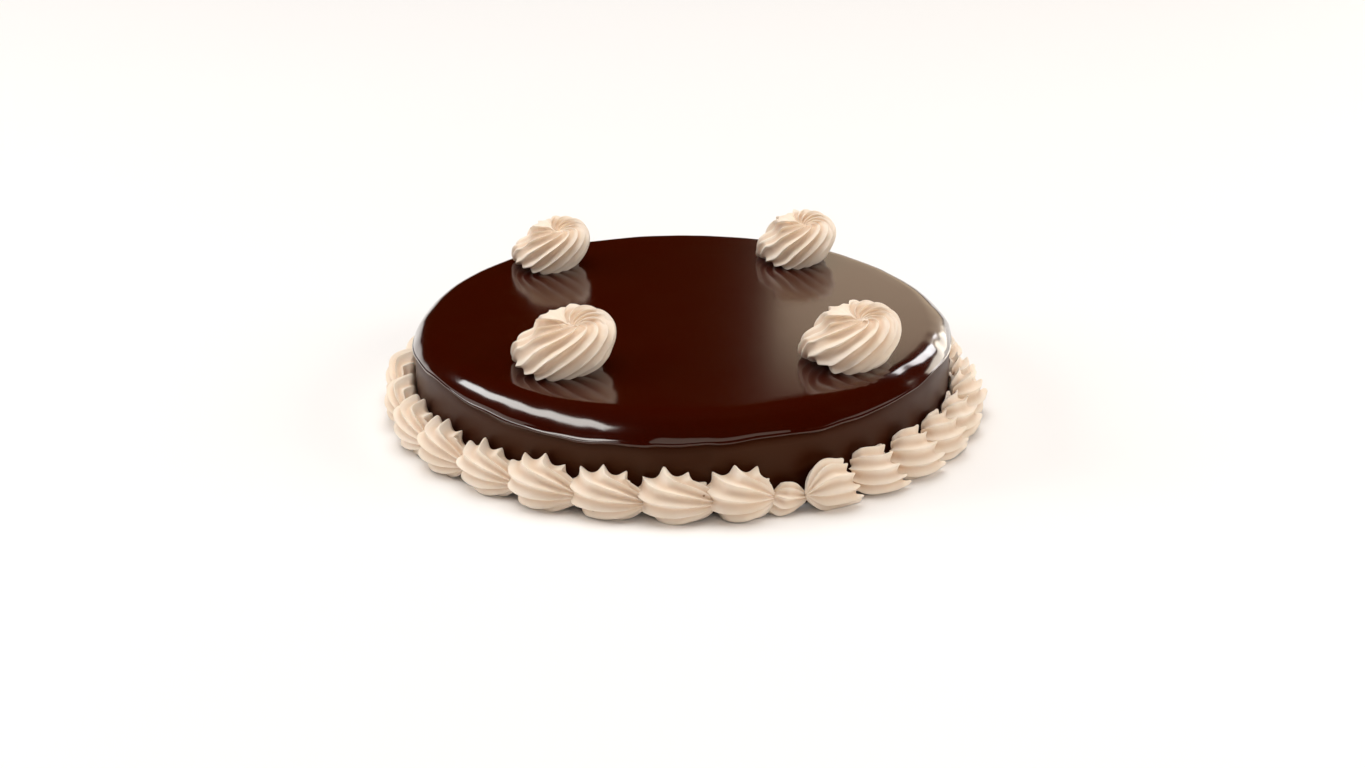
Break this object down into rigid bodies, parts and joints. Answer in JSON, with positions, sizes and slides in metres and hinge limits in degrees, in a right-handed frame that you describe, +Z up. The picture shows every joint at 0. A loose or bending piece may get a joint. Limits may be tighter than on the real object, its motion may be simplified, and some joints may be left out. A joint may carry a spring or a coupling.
{
  "type": "chocolate truffle cake",
  "caption": "Low round chocolate cake under a poured mirror glaze, with piped cream rosettes on top and a piped shell border round its foot.",
  "frame": {"origin": "centre of the cake's flat base, on the surface it stands on", "axes": "+Z up, -Y towards the side with the small closing shell, +X to the right seen from that side"},
  "size_m": [0.2223, 0.2226, 0.0557],
  "materials": {
    "chocolate_glaze": "mirror-gloss dark chocolate glaze",
    "piped_cream": "matte whipped chocolate cream"
  },
  "bodies": {
    "root": {"cake": "chocolate_glaze", "rosette_front_left": "piped_cream", "rosette_front_right": "piped_cream", "rosette_back_left": "piped_cream", "rosette_back_right": "piped_cream", "shell_left_1": "piped_cream", "shell_left_2": "piped_cream", "shell_left_3": "piped_cream", "shell_left_4": "piped_cream", "shell_left_5": "piped_cream", "shell_left_6": "piped_cream", "shell_left_7": "piped_cream", "shell_left_8": "piped_cream", "shell_left_9": "piped_cream", "shell_left_10": "piped_cream", "shell_left_11": "piped_cream", "shell_left_12": "piped_cream", "shell_left_13": "piped_cream", "shell_left_14": "piped_cream", "shell_left_15": "piped_cream", "shell_closing": "piped_cream", "shell_right_1": "piped_cream", "shell_right_2": "piped_cream", "shell_right_3": "piped_cream", "shell_right_4": "piped_cream", "shell_right_5": "piped_cream", "shell_right_6": "piped_cream", "shell_right_7": "piped_cream", "shell_right_8": "piped_cream", "shell_right_9": "piped_cream", "shell_right_10": "piped_cream", "shell_right_11": "piped_cream", "shell_right_12": "piped_cream", "shell_right_13": "piped_cream", "shell_right_14": "piped_cream"}
  },
  "joints": []
}
